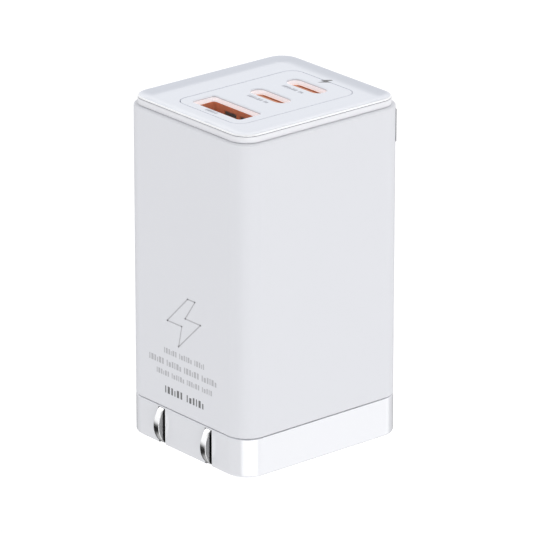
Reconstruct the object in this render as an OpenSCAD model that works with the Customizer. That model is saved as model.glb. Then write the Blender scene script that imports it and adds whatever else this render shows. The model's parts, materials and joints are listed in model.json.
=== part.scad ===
// Wall-plug power adapter for laptops: folding two-blade plug in the base,
// one wide and two narrow sockets in the top, power electronics in between.
// Frame: +Z towards the sockets, X along the row of prongs, -Y the prong face.
// The origin is the centre of the flat bottom of the base.

/* [Body] */
// Width, across the two prongs
body_w = 32; // [32:0.5:34]
// Depth, from the prong face to the back
body_d = 36; // [36:0.5:38]
// Height, from the bottom to the rim of the top cover
body_h = 61.6; // [61.6:0.2:64]
// Radius of the four upright corners
corner_r = 4.2; // [4:0.1:4.4]
// Wall thickness of the main housing
wall = 1.8; // [1.75:0.05:1.85]
// Rounding of the housing's upper edge
housing_edge_r = 0.3; // [0.2:0.05:0.4]

/* [Base] */
// Height of the glossy base band
base_h = 7; // [6.95:0.05:7.05]
// Dark gap between the base band and the housing
groove_h = 0.2; // [0.15:0.05:0.3]
// Rounding of the bottom edge
base_edge_r = 0.6; // [0.4:0.1:0.8]
// Thickness of the base's floor
floor_t = 1.2; // [1.1:0.05:1.2]
// Height of the ring that laps inside the housing
lap_h = 2.8; // [2.4:0.1:2.8]

/* [Top cover] */
// How far the cover stands in from the housing
cover_inset = 0.7; // [0.6:0.05:0.8]
// Height of the cover above the housing's upper edge
cover_rise = 1.5; // [1.4:0.05:1.6]
// Rounding of the cover's rim
cover_edge_r = 0.25; // [0.2:0.05:0.5]
// Depth of the shallow dish inside the rim
dish_depth = 0.5; // [0.4:0.05:0.5]
// Width of the port panel
panel_w = 16.9; // [16.5:0.1:17.5]
// Length of the port panel
panel_d = 26.4; // [26:0.1:27]
// Corner radius of the port panel
panel_r = 2.3; // [1.8:0.1:2.6]
// Offset of the port panel towards the back
panel_y = 0.4; // [0.2:0.1:0.6]
// Thickness of the port panel
panel_t = 1.05; // [1:0.05:1.1]

/* [Trim tag] */
// Thickness of the metal tag at the back right corner
tag_t = 0.15; // [0.15:0.05:0.25]
// How far the tag hangs down from the housing's upper edge
tag_drop = 6.8; // [6:0.2:9]
// How far below the housing's upper edge the tag starts
tag_top = 1.2; // [0.3:0.1:1.5]
// Length of the tag's flat part along the back
tag_flat = 9; // [6:0.5:12]
// Angle that the tag reaches round the corner
tag_turn = 44; // [30:1:50]

/* [Ports] */
// Place of the wide socket along the depth
usb_a_y = -8.4; // [-8.6:0.1:-8.2]
// Place of the first narrow socket
usb_c1_y = 1.3; // [1:0.1:1.6]
// Place of the second narrow socket
usb_c2_y = 9.4; // [9.2:0.1:9.6]
// Height of the sockets above their board
socket_h = 12.8; // [12.6:0.1:13]
// Depth of the wide tongue's tip below the panel
usb_a_tip = 2; // [1.8:0.1:2.4]
// Depth of the narrow tongues' tips below the panel
usb_c_tip = 0.8; // [0.7:0.05:1]

/* [Prongs] */
// Distance between the two prongs
prong_pitch = 12.7; // [12.7:0.1:12.7]
// Thickness of a prong
prong_t = 1.4; // [1.4:0.05:1.6]
// Width of a prong
prong_w = 6.35; // [6.2:0.05:6.4]
// Length from the pivot to the tip
prong_reach = 20.5; // [20:0.1:20.8]
// How much wider a slot is than its prong
slot_play = 0.5; // [0.4:0.05:0.7]
// Offset of the slots from their prongs
slot_shift = 0.1; // [0:0.05:0.25]
// Radius of the rounded tip
tip_r = 4.4; // [4.3:0.1:5.2]
// Pivot, ahead of or behind the middle
pivot_y = 1.3; // [1.1:0.1:1.4]
// Pivot, above the bottom
pivot_z = 3.5; // [3.5:0.02:3.52]
// Radius of the moulded barrel that carries the prongs
barrel_r = 2.2; // [2.1:0.05:2.2]
// Radius of the trunnions
trunnion_r = 1.6; // [1.5:0.05:1.6]
// Radial running clearance of the trunnions
run_gap = 0.05; // [0.03:0.01:0.08]

/* [Electronics] */
// Thickness of the input and port boards
board_t = 1; // [0.8:0.1:1]
// Thickness of the upright main board
main_board_t = 1.2; // [1:0.1:1.2]
// Diameter of the high-voltage capacitors
input_can_d = 9.6; // [9.2:0.1:9.6]
// Height of the high-voltage capacitors
input_can_h = 16; // [14:0.5:16]
// Height of the transformer's middle
transformer_z = 35.2; // [35:0.1:36]

/* [Hidden] */
$fn = 96;

cut = 1;                                   // overshoot of a cut past a face
inner_w = body_w - 2*wall;
inner_d = body_d - 2*wall;
inner_r = corner_r - wall;
lap_wall = wall/2;                         // what the lap joint leaves of the wall
lap_gap = 0.05;
lap_w = body_w - 2*(lap_wall + lap_gap);
lap_d = body_d - 2*(lap_wall + lap_gap);
lap_r = corner_r - lap_wall - lap_gap;
lap_z = base_h + lap_h;
housing_z0 = base_h + groove_h;
housing_z1 = body_h - cover_rise;
cover_w = body_w - 2*cover_inset;
cover_d = body_d - 2*cover_inset;
cover_r = corner_r - cover_inset;
rim_w = 1.2;                               // flat width of the cover's rim
skirt_t = 1.2;
skirt_z = housing_z1 - 3.2;
cover_plate_t = 1.6;
ledge = 1;                                 // ledge that the panel rests on
panel_gap = 0.05;
deck_z = body_h - dish_depth;              // top face of the port panel
shell_z = deck_z - panel_t;                // front ends of the socket shells
port_top = shell_z - socket_h;             // upper face of the port board

slot_w = prong_t + slot_play;
slot_top = pivot_z + prong_w/2 + 0.125;
slot_back = prong_w/2 + 0.125;
channel_t = 0.8;
barrel_half = prong_pitch/2 - prong_t/2;   // inner faces of the prongs
prong_out = prong_pitch/2 + prong_t/2;     // outer faces of the prongs
core_r = 1.25;
barrel_end = prong_out + 2.2;
trunnion_end = barrel_end + 3.1;
saddle_x0 = barrel_end + 0.1;
saddle_x1 = saddle_x0 + 3.2;
saddle_half = 7;                           // half length of a bearing block
screw_dx = saddle_x0 + 1.6;
screw_dy = 5.2;
screw_r = 0.8;
screw_head_r = 1.5;
bridge_z0 = slot_top + channel_t + 0.6;
bridge_z1 = bridge_z0 + 1.2;
strip_t = 0.3;                             // sheet of the springs

input_z0 = bridge_z1 + 1;
input_z1 = input_z0 + board_t;
port_z0 = port_top - board_t;
main_x0 = inner_w/2 - 1.8;
main_x1 = main_x0 + main_board_t;
main_half = 14.5;
rail_z0 = 14;

usb_a_in = [12.5, 5.1];                    // inside of the wide shell
usb_c_in = [8.34, 2.56];                   // inside of a narrow shell
usb_a_mouth = [12.6, 4.9];                 // openings in the panel
usb_c_mouth = [8.9, 2.8];
mouth_r = 0.6;
shell_t = 0.3;

core_half_w = 8;                           // half the core's length along X
core_post_r = 4.4;
core_bore_r = 7.4;
core_x = main_x0 - 1.4 - core_half_w;      // plane where the two halves meet
choke_at = [3.5, -9.2, input_z1 + 5.7];
wrap_gap = 0.3;                            // from the housing to the heat spreader
wrap_t = 0.5;
film_t = 0.15;

// ---- shapes that repeat ----
module rounded_rect(w, d, r) {
    square([w - 2*r, d], center = true);
    square([w, d - 2*r], center = true);
    for (sx = [-1, 1], sy = [-1, 1])
        translate([sx*(w/2 - r), sy*(d/2 - r)]) circle(r);
}

module racetrack(w, d) {
    square([w - d, d], center = true);
    for (sx = [-1, 1]) translate([sx*(w - d)/2, 0]) circle(d/2);
}

module slab(w, d, r, z0, z1) {
    translate([0, 0, z0]) linear_extrude(z1 - z0) rounded_rect(w, d, r);
}

// box from its lowest and highest corners
module span(low, high) {
    translate(low) cube(high - low);
}

module edge_profile(reach, h, f) {
    square([reach - f, h]);
    square([reach, h - f]);
    translate([reach - f, h - f]) circle(f);
}

// block with round upright corners and a rounded upper edge, from z = 0
module soft_block(w, d, r, h, f) {
    side_x = w/2 - r;
    side_y = d/2 - r;
    translate([-side_x, -side_y, 0]) cube([2*side_x, 2*side_y, h]);
    for (q = [0:3]) {
        corner_x = (q == 0 || q == 3) ? side_x : -side_x;
        corner_y = q < 2 ? side_y : -side_y;
        translate([corner_x, corner_y, 0]) rotate([0, 0, 90*q])
            rotate_extrude(angle = 90) edge_profile(r, h, f);
    }
    for (turn = [0, 180]) rotate([0, 0, turn]) translate([-side_x, side_y, 0])
        rotate([90, 0, 90]) linear_extrude(2*side_x) edge_profile(r, h, f);
    for (turn = [90, 270]) rotate([0, 0, turn]) translate([-side_y, side_x, 0])
        rotate([90, 0, 90]) linear_extrude(2*side_y) edge_profile(r, h, f);
}

// outline drawn in Y and Z about the pivot, thickness t centred on x
module hinge_plate(x, t) {
    translate([x, pivot_y, pivot_z]) rotate([90, 0, 90])
        linear_extrude(t, center = true) children();
}

// ---- casing ----
module main_housing() color([0.90, 0.90, 0.92]) {
    difference() {
        translate([0, 0, housing_z0])
            soft_block(body_w, body_d, corner_r, housing_z1 - housing_z0, housing_edge_r);
        slab(inner_w, inner_d, inner_r, housing_z0 - cut, housing_z1 + cut);
        slab(lap_w + 2*lap_gap, lap_d + 2*lap_gap, lap_r + lap_gap, housing_z0 - cut, lap_z);
    }
    for (side = [-1, 1]) {
        board_rail(side);
        board_ledge(side);
    }
}

// pair of ribs that hold one edge of the main board
module board_rail(side) {
    y0 = side > 0 ? main_half - 1.5 : -inner_d/2 - 0.1;
    y1 = side > 0 ? inner_d/2 + 0.1 : -main_half + 1.5;
    span([main_x0 - 0.9, y0, rail_z0], [main_x0 - 0.1, y1, port_z0]);
    span([main_x1 + 0.1, y0, rail_z0], [inner_w/2 + 0.1, y1, port_z0]);
}

module board_ledge(side) {
    y0 = side > 0 ? inner_d/2 - 3.2 : -inner_d/2 - 0.1;
    span([-inner_w/2 - 0.1, y0, port_z0 - 1.5], [-inner_w/2 + 2.2, y0 + 3.3, port_z0]);
}

module base_cap() color([0.95, 0.95, 0.96]) {
    difference() {
        union() {
            base_tray();
            for (side = [-1, 1]) {
                prong_channel(side*prong_pitch/2 + slot_shift);
                bearing_block(side);
            }
        }
        for (side = [-1, 1]) prong_slot(side*prong_pitch/2 + slot_shift);
        bearing_bore();
        screw_holes(screw_r, floor_t + 0.3, pivot_z + cut);
    }
    for (sx = [-1, 1], sy = [-1, 1])
        translate([sx*(inner_w/2 - 2.7), sy*(inner_d/2 - 3.2), floor_t])
            cylinder(r = 1.3, h = input_z0 - floor_t);
}

module base_tray() {
    difference() {
        union() {
            translate([0, 0, base_h]) mirror([0, 0, 1])
                soft_block(body_w, body_d, corner_r, base_h, base_edge_r);
            slab(lap_w, lap_d, lap_r, base_h, lap_z);
        }
        slab(inner_w, inner_d, inner_r, floor_t, lap_z + cut);
    }
}

module prong_channel(x) {
    half = slot_w/2 + channel_t;
    span([x - half, -inner_d/2 - 0.4, floor_t/2],
         [x + half, pivot_y - slot_back - 0.2, slot_top + channel_t]);
}

module prong_slot(x) {
    span([x - slot_w/2, -body_d/2 - cut, -cut], [x + slot_w/2, pivot_y + slot_back, slot_top]);
}

module bearing_block(side) {
    x0 = side > 0 ? saddle_x0 : -saddle_x1;
    span([x0, pivot_y - saddle_half, floor_t/2],
         [x0 + saddle_x1 - saddle_x0, pivot_y + saddle_half, pivot_z]);
}

module bearing_bore() {
    for (side = [-1, 1])
        translate([side*(saddle_x0 + saddle_x1)/2, pivot_y, pivot_z]) rotate([0, 90, 0])
            cylinder(r = trunnion_r + run_gap, h = saddle_x1 - saddle_x0 + cut/2, center = true);
}

module screw_holes(r, z0, z1) {
    for (sx = [-1, 1], sy = [-1, 1])
        translate([sx*screw_dx, pivot_y + sy*screw_dy, z0]) cylinder(r = r, h = z1 - z0);
}

module top_cover() color([0.93, 0.94, 0.97]) difference() {
    union() {
        translate([0, 0, housing_z1])
            soft_block(cover_w, cover_d, cover_r, cover_rise, cover_edge_r);
        slab(inner_w - 0.1, inner_d - 0.1, inner_r - 0.05, skirt_z, housing_z1);
    }
    slab(cover_w - 2*rim_w, cover_d - 2*rim_w, cover_r - rim_w, deck_z, body_h + cut);
    slab(inner_w - 2*skirt_t, inner_d - 2*skirt_t, inner_r - skirt_t,
         skirt_z - cut, deck_z - cover_plate_t);
    translate([0, panel_y, 0]) {
        slab(panel_w + 2*panel_gap, panel_d + 2*panel_gap, panel_r + panel_gap,
             deck_z - panel_t, body_h + cut);
        slab(panel_w - 2*ledge, panel_d - 2*ledge, panel_r - ledge, skirt_z, body_h + cut);
    }
}

module port_panel() color([0.93, 0.94, 0.97]) difference() {
    translate([0, panel_y, 0]) slab(panel_w, panel_d, panel_r, deck_z - panel_t, deck_z);
    translate([0, usb_a_y, 0]) slab(usb_a_mouth[0], usb_a_mouth[1], mouth_r, deck_z - panel_t - cut, deck_z + cut);
    for (y = [usb_c1_y, usb_c2_y])
        translate([0, y, deck_z - panel_t - cut]) linear_extrude(panel_t + 2*cut)
            racetrack(usb_c_mouth[0], usb_c_mouth[1]);
}

// thin metal tag laid round the back right corner of the housing
module tag_profile() {
    translate([corner_r, housing_z1 - tag_drop]) square([tag_t, tag_drop - tag_top]);
}

module trim_tag() color([0.55, 0.55, 0.57])
    translate([body_w/2 - corner_r, body_d/2 - corner_r, 0]) {
        rotate([0, 0, 90]) mirror([0, 1, 0]) rotate_extrude(angle = tag_turn) tag_profile();
        translate([-tag_flat, 0, 0]) rotate([90, 0, 90]) linear_extrude(tag_flat) tag_profile();
    }

// ---- folding plug ----
module prong_outline() {
    difference() {
        union() {
            circle(prong_w/2);
            translate([tip_r - prong_reach, -prong_w/2])
                square([prong_reach - tip_r, prong_w]);
            intersection() {
                translate([tip_r - prong_reach, 0]) circle(tip_r);
                translate([-prong_reach, -prong_w/2]) square([2*tip_r, prong_w]);
            }
        }
        circle(core_r);
    }
}

module prong_left() color([0.80, 0.80, 0.82])
    hinge_plate(-prong_pitch/2, prong_t) prong_outline();

module prong_right() color([0.80, 0.80, 0.82])
    hinge_plate(prong_pitch/2, prong_t) prong_outline();

// barrel half profile: radius against distance from the middle
module carrier_profile() {
    polygon([[0, 0], [barrel_r, 0], [barrel_r, barrel_half], [core_r, barrel_half],
             [core_r, prong_out], [barrel_r, prong_out], [barrel_r, barrel_end],
             [trunnion_r, barrel_end], [trunnion_r, trunnion_end], [0, trunnion_end]]);
}

module prong_carrier() color([0.88, 0.88, 0.90]) difference() {
    translate([0, pivot_y, pivot_z]) rotate([0, 90, 0]) for (end = [0, 1])
        mirror([0, 0, end]) rotate_extrude() carrier_profile();
    carrier_flats();
}

// two flats, a quarter turn apart, that the detent spring settles on
module carrier_flats() {
    flat_half = 4.5;
    depth = 0.3;
    top = barrel_r - depth;
    hinge_plate(0, 2*flat_half) {
        translate([-barrel_r, top]) square([2*barrel_r, 1]);
        translate([top, -barrel_r]) square([1, 2*barrel_r]);
    }
}

module hinge_retainer() color([0.85, 0.85, 0.87]) difference() {
    union() {
        span([-saddle_x1, pivot_y - saddle_half, bridge_z0],
             [saddle_x1, pivot_y + saddle_half, bridge_z1]);
        for (x0 = [-saddle_x1, saddle_x0])
            span([x0, pivot_y - saddle_half, pivot_z],
                 [x0 + saddle_x1 - saddle_x0, pivot_y + saddle_half, bridge_z0]);
    }
    bearing_bore();
    screw_holes(screw_r + 0.25, pivot_z - cut, bridge_z1 + cut);
    for (sx = [-1, 1])
        span([sx*prong_pitch/2 - 2, pivot_y - 3.5, bridge_z0 - cut],
             [sx*prong_pitch/2 + 2, pivot_y + 3.5, bridge_z1 + cut]);
}

module retainer_screws() color([0.60, 0.60, 0.62]) {
    screw_holes(screw_r, floor_t + 0.5, bridge_z1);
    difference() {
        screw_holes(screw_head_r, bridge_z1, bridge_z1 + 0.9);
        for (sx = [-1, 1], sy = [-1, 1])
            translate([sx*screw_dx, pivot_y + sy*screw_dy, bridge_z1 + 0.8])
                for (turn = [0, 90]) rotate([0, 0, turn])
                    cube([0.4, 2, 0.8], center = true);
    }
}

module detent_spring() color([0.75, 0.75, 0.78]) {
    low = barrel_r + 0.05;                 // just clear of the turning barrel
    high = bridge_z0 - pivot_z;
    hinge_plate(0, 7) polygon([
        [-5.5, high - strip_t], [-4.2, high - strip_t], [-2.2, low],
        [2.2, low], [4.2, high - strip_t], [5.5, high - strip_t],
        [5.5, high], [4.05, high], [2.05, low + strip_t],
        [-2.05, low + strip_t], [-4.05, high], [-5.5, high]]);
}

module contact_spring(x) {
    low = prong_w/2 + 0.08;                // just clear of the turning prong root
    high = input_z0 - pivot_z;
    hinge_plate(x, 3) polygon([
        [-2.4, low + 0.75], [-0.8, low], [0.9, low], [2.5, high - strip_t],
        [2.5, high], [-2, high], [-2, high - strip_t], [2.15, high - strip_t],
        [0.7, low + strip_t], [-0.7, low + strip_t], [-2.25, low + 1.05]]);
}

module contact_spring_left() color([0.80, 0.62, 0.35]) contact_spring(-prong_pitch/2);

module contact_spring_right() color([0.80, 0.62, 0.35]) contact_spring(prong_pitch/2);

// ---- boards ----
module input_board() color([0.10, 0.38, 0.22])
    slab(inner_w - 0.8, inner_d - 0.8, inner_r - 0.3, input_z0, input_z1);

module main_board() color([0.10, 0.38, 0.22])
    span([main_x0, -main_half, input_z1], [main_x1, main_half, port_z0]);

module port_board() color([0.10, 0.38, 0.22])
    slab(inner_w - 1.6, inner_d - 1.6, 1.8, port_z0, port_top);

// ---- wide socket ----
module usb_a_shell() color([0.72, 0.42, 0.26]) {
    window_z = [shell_z - 6, shell_z - 1];
    difference() {
        translate([0, usb_a_y, 0])
            slab(usb_a_in[0] + 2*shell_t, usb_a_in[1] + 2*shell_t, 0.7, port_top, shell_z);
        translate([0, usb_a_y, 0])
            slab(usb_a_in[0], usb_a_in[1], 0.4, port_top - cut, shell_z + cut);
        for (sx = [-1, 1])
            span([sx*2.1 - 1.6, usb_a_y - 4, window_z[0]], [sx*2.1 + 1.6, usb_a_y + 4, window_z[1]]);
    }
    for (sx = [-1, 1], face = [0, 1])
        translate([sx*2.1, usb_a_y, 0]) mirror([0, face, 0])
            spring_finger(usb_a_in[1]/2, window_z[0]);
}

// bent strip in a window of the shell, leaning into the socket
module spring_finger(y, z) {
    finger_t = 0.25;
    rotate([90, 0, 90]) linear_extrude(2.2, center = true) polygon([
        [y + 0.02, z - 0.4], [y + 0.02, z], [y - 0.35, z + 3.2], [y - 0.02, z + 4.2],
        [y - 0.02 + finger_t, z + 4.2], [y - 0.35 + finger_t, z + 3.2],
        [y + 0.02 + finger_t, z], [y + 0.02 + finger_t, z - 0.4]]);
}

module usb_a_tongue() color([0.85, 0.42, 0.16]) {
    foot = 3.6;
    translate([0, usb_a_y, 0])
        slab(usb_a_in[0] - 0.1, usb_a_in[1] - 0.1, 0.35, port_top, port_top + foot);
    span([-5.55, usb_a_y - 1.95, port_top + foot - 0.2], [5.55, usb_a_y - 0.11, deck_z - usb_a_tip]);
}

module usb_a_contacts() color([0.85, 0.70, 0.35])
    for (x = [-3.5, -1, 1, 3.5])
        span([x - 0.5, usb_a_y - 0.11, port_top + 3.6],
             [x + 0.5, usb_a_y + 0.09, deck_z - usb_a_tip - 0.7]);

// ---- narrow sockets ----
module usb_c_shell(y) {
    translate([0, y, port_top]) linear_extrude(socket_h) difference() {
        racetrack(usb_c_in[0] + 2*shell_t, usb_c_in[1] + 2*shell_t);
        racetrack(usb_c_in[0], usb_c_in[1]);
    }
}

module usb_c_tongue(y) {
    translate([0, y, port_top]) {
        linear_extrude(4.5) racetrack(usb_c_in[0] - 0.06, usb_c_in[1] - 0.06);
        linear_extrude(6.2) square([7.4, 1.5], center = true);
    }
    span([-3.35, y - 0.35, port_top + 4], [3.35, y + 0.35, deck_z - usb_c_tip]);
}

module usb_c_contacts(y) {
    for (n = [0:11], face = [0, 1])
        translate([(n - 5.5)*0.5, y, 0]) mirror([0, face, 0])
            span([-0.125, 0.35, port_top + 6.2], [0.125, 0.43, deck_z - usb_c_tip - 0.7]);
}

module usb_c1_shell() color([0.72, 0.42, 0.26]) usb_c_shell(usb_c1_y);

module usb_c1_tongue() color([0.85, 0.42, 0.16]) usb_c_tongue(usb_c1_y);

module usb_c1_contacts() color([0.85, 0.70, 0.35]) usb_c_contacts(usb_c1_y);

module usb_c2_shell() color([0.72, 0.42, 0.26]) usb_c_shell(usb_c2_y);

module usb_c2_tongue() color([0.85, 0.42, 0.16]) usb_c_tongue(usb_c2_y);

module usb_c2_contacts() color([0.85, 0.70, 0.35]) usb_c_contacts(usb_c2_y);

// ---- transformer, axis along X ----
module core_half() {
    back = 3;
    difference() {
        span([0, -10, -7], [core_half_w, 10, 7]);
        difference() {
            translate([-cut, 0, 0]) rotate([0, 90, 0])
                cylinder(r = core_bore_r, h = core_half_w - back + cut);
            translate([0.1, 0, 0]) rotate([0, 90, 0]) cylinder(r = core_post_r, h = core_half_w);
        }
    }
}

module transformer_core_outer() color([0.25, 0.25, 0.27])
    translate([core_x, 0, transformer_z]) core_half();

module transformer_core_inner() color([0.25, 0.25, 0.27])
    translate([core_x, 0, transformer_z]) mirror([1, 0, 0]) core_half();

module x_tube(r_out, r_in, x0, x1) {
    translate([x0, 0, 0]) rotate([0, 90, 0]) linear_extrude(x1 - x0) difference() {
        circle(r_out);
        circle(r_in);
    }
}

module transformer_bobbin() color([0.12, 0.12, 0.13]) translate([core_x, 0, transformer_z]) {
    tube_r = core_post_r + 0.15;
    flange_r = core_bore_r - 0.2;
    foot_x = core_half_w + 0.1;
    x_tube(tube_r + 0.55, tube_r, -4.9, 4.9);
    for (x = [-4.9, 4.1]) x_tube(flange_r, tube_r, x, x + 0.8);
    for (side = [0, 1]) mirror([0, 0, side]) {
        span([4.1, -2.2, 5.6], [4.9, 2.2, 8.1]);
        span([4.1, -2.2, 7.1], [foot_x + 0.2, 2.2, 8.1]);
    }
    span([foot_x, -8, -8.1], [main_x0 - core_x, 8, 8.1]);
}

module transformer_winding() color([0.85, 0.68, 0.20])
    translate([core_x, 0, transformer_z]) x_tube(6.9, core_post_r + 0.7, -4.1, 4.1);

// ---- capacitors, choke and fuse ----
module can_row(x, pitch, d, z0, h) {
    for (n = [-1:1]) translate([x, n*pitch, z0]) {
        cylinder(d = d, h = h - 0.6);
        cylinder(d = d - 1.2, h = h);
    }
}

module input_capacitors() color([0.16, 0.16, 0.20])
    can_row(-inner_w/2 + 6, 10.2, input_can_d, input_z1, input_can_h);

module output_capacitors() color([0.70, 0.71, 0.74])
    translate([0, 0, port_z0]) mirror([0, 0, 1]) can_row(-inner_w/2 + 5.2, 8.8, 8, 0, 11.5);

module x_capacitor() color([0.90, 0.75, 0.20])
    span([-2.6, -2.2, input_z1], [10.6, 4, input_z1 + 12]);

module y_capacitor() color([0.20, 0.40, 0.75]) translate([6, 12.5, transformer_z - 2]) {
    rotate([90, 0, 0]) cylinder(r = 4, h = 3, center = true);
    for (dz = [-2, 2]) translate([2, 0, dz]) rotate([0, 90, 0])
        cylinder(r = 0.3, h = main_x0 - 8);
}

module choke_section(grow) {
    translate([2.4 - grow, -2.6 - grow]) square([2.6 + 2*grow, 5.2 + 2*grow]);
}

module choke_core() color([0.25, 0.45, 0.30]) translate(choke_at) rotate([0, 90, 0])
    rotate_extrude() choke_section(0);

module choke_windings() color([0.75, 0.40, 0.20]) translate(choke_at)
    for (side = [0, 180]) rotate([side, 0, 0]) rotate([0, 90, 0]) rotate([0, 0, 25])
        rotate_extrude(angle = 130) difference() {
            choke_section(0.6);
            choke_section(0);
        }

module fuse() color([0.85, 0.83, 0.78]) translate([0.6, 9.4, input_z1]) {
    cylinder(r = 2, h = 1.4);
    translate([0, 0, 1.4]) cylinder(r = 1.7, h = 6.2);
    translate([0, 0, 7.6]) cylinder(r = 2, h = 1.4);
}

// ---- semiconductors ----
module bridge_rectifier() color([0.14, 0.14, 0.15])
    span([5.5, 6, input_z1], [8.9, 14.6, input_z1 + 9.5]);

module gan_transistor() color([0.14, 0.14, 0.15])
    span([main_x0 - 1, -8, 20], [main_x0, -2, 26]);

module controller_chip() color([0.14, 0.14, 0.15])
    span([main_x0 - 1.4, 4.5, 14], [main_x0, 9.5, 20]);

module rectifier_transistor() color([0.14, 0.14, 0.15])
    span([main_x0 - 1.1, -12.9, 31], [main_x0, -10.2, 36]);

module port_controllers() color([0.14, 0.14, 0.15])
    for (y = [-2, 7]) span([-12, y - 2.5, port_top], [-7, y + 2.5, port_top + 0.9]);

module buck_inductors() color([0.35, 0.35, 0.38])
    for (y = [-1.8, 6.4]) difference() {
        span([7, y - 3, port_top], [13, y + 3, port_top + 4]);
        span([6, y - 0.4, port_top + 3.7], [14, y + 0.4, port_top + 5]);
    }

// ---- heat spreading ----
module wall_wrap(gap, t, x_end, z0, z1) {
    translate([0, 0, z0]) linear_extrude(z1 - z0) intersection() {
        difference() {
            rounded_rect(inner_w - 2*gap, inner_d - 2*gap, inner_r - gap/2);
            rounded_rect(inner_w - 2*(gap + t), inner_d - 2*(gap + t), inner_r - gap/2 - t);
        }
        translate([-body_w, -body_d]) square([body_w + x_end, 2*body_d]);
    }
}

module heat_spreader() color([0.78, 0.78, 0.80])
    wall_wrap(wrap_gap, wrap_t, main_x0 - 2, input_z1 + 1, port_z0 - 1.8);

module insulating_film() color([0.85, 0.80, 0.60])
    wall_wrap(wrap_gap + wrap_t + 0.02, film_t, main_x0 - 2, input_z1 + 0.5, port_z0 - 1.8);

main_housing();
base_cap();
top_cover();
port_panel();
trim_tag();
prong_left();
prong_right();
prong_carrier();
hinge_retainer();
retainer_screws();
detent_spring();
contact_spring_left();
contact_spring_right();
input_board();
main_board();
port_board();
usb_a_shell();
usb_a_tongue();
usb_a_contacts();
usb_c1_shell();
usb_c1_tongue();
usb_c1_contacts();
usb_c2_shell();
usb_c2_tongue();
usb_c2_contacts();
transformer_core_inner();
transformer_core_outer();
transformer_bobbin();
transformer_winding();
input_capacitors();
output_capacitors();
x_capacitor();
y_capacitor();
choke_core();
choke_windings();
fuse();
bridge_rectifier();
gan_transistor();
controller_chip();
rectifier_transistor();
buck_inductors();
port_controllers();
heat_spreader();
insulating_film();
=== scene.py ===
import bmesh
import bpy
import json
import math
from mathutils import Matrix, Vector


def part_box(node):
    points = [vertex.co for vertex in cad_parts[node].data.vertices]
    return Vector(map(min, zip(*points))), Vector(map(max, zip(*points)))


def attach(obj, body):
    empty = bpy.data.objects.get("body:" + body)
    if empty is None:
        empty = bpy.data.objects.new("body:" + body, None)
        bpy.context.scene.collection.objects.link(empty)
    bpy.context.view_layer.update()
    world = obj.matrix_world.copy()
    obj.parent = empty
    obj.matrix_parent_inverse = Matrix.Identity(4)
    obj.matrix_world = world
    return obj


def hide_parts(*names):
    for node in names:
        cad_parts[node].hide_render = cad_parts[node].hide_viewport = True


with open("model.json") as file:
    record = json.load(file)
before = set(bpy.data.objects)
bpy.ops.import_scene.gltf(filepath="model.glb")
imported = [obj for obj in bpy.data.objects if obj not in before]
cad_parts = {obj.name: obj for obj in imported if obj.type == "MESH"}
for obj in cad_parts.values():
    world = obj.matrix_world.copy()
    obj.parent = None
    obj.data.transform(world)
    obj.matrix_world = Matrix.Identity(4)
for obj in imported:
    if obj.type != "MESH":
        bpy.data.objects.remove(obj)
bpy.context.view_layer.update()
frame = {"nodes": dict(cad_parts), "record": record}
cadNodes = frame["nodes"]
mm = 0.001
print("frame loaded,", len(cadNodes), "nodes")


# camera, light and floor
cameraView = {
    "place": (0.63834, -0.53321, 0.34215),
    "azimuth": 50.106,     # degrees round from the prong face towards the right side
    "elevation": 20.554,
    "lens": 347.8,
    "sensor": 36.0,
}


def makeCamera(view):
    turn = math.radians(view["azimuth"])
    rise = math.radians(view["elevation"])
    back = Vector((math.sin(turn) * math.cos(rise), -math.cos(turn) * math.cos(rise), math.sin(rise)))
    data = bpy.data.cameras.new("camera")
    data.lens = view["lens"]
    data.sensor_width = view["sensor"]
    data.clip_start = 0.01
    data.clip_end = 20.0
    camera = bpy.data.objects.new("camera", data)
    camera.location = view["place"]
    camera.rotation_mode = "QUATERNION"
    camera.rotation_quaternion = (-back).to_track_quat("-Z", "Y")
    bpy.context.scene.collection.objects.link(camera)
    bpy.context.scene.camera = camera


studio = {
    "sky": 0.835,              # even light from above the horizon
    "skyTint": (0.985, 0.99, 1.0),
    "horizon": 1.25,           # what gloss sees low down all round
    "zenith": 0.12,            # and high up
    "flag": 0.02,              # black flag below the horizon, seen only in gloss
    "under": 0.55,             # what gloss sees steeply below
    "cards": [                 # white cards: turn, rise, spread in degrees, brightness
        (62, -24, 42, 6.5),
        (118, -22, 46, 3.2),
        (288, 40, 26, 2.0),
        (150, 46, 26, 3.8),
    ],
    "sunPower": 0.30,
    "sunTurn": 152.0,
    "sunRise": 38.0,
    "sunSpread": 50.0,
    "floorDrop": 17.6,         # mm below the base, just under the tips of the open prongs
    "floorSize": 8.0,
    "floorTone": 0.9,
    "floorGlow": 0.30,         # keeps the pale floor white under the adapter
}


def wire(tree, source, target):
    tree.links.new(source, target)


def mathNode(tree, operation, first, second=None, clamp=False):
    node = tree.nodes.new("ShaderNodeMath")
    node.operation = operation
    node.use_clamp = clamp
    for socket, value in zip(node.inputs, (first, second)):
        if value is None:
            continue
        if hasattr(value, "links"):
            wire(tree, value, socket)
        else:
            socket.default_value = value
    return node.outputs[0]


def rampNode(tree, value, low, high, lowTo=0.0, highTo=1.0):
    node = tree.nodes.new("ShaderNodeMapRange")
    node.interpolation_type = "SMOOTHSTEP"
    wire(tree, value, node.inputs["Value"])
    node.inputs["From Min"].default_value = low
    node.inputs["From Max"].default_value = high
    node.inputs["To Min"].default_value = lowTo
    node.inputs["To Max"].default_value = highTo
    return node.outputs["Result"]


def mixNode(tree, factor, first, second):
    node = tree.nodes.new("ShaderNodeMix")
    node.data_type = "FLOAT"
    wire(tree, factor, node.inputs["Factor"])
    for title, value in (("A", first), ("B", second)):
        if hasattr(value, "links"):
            wire(tree, value, node.inputs[title])
        else:
            node.inputs[title].default_value = value
    return node.outputs["Result"]


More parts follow.
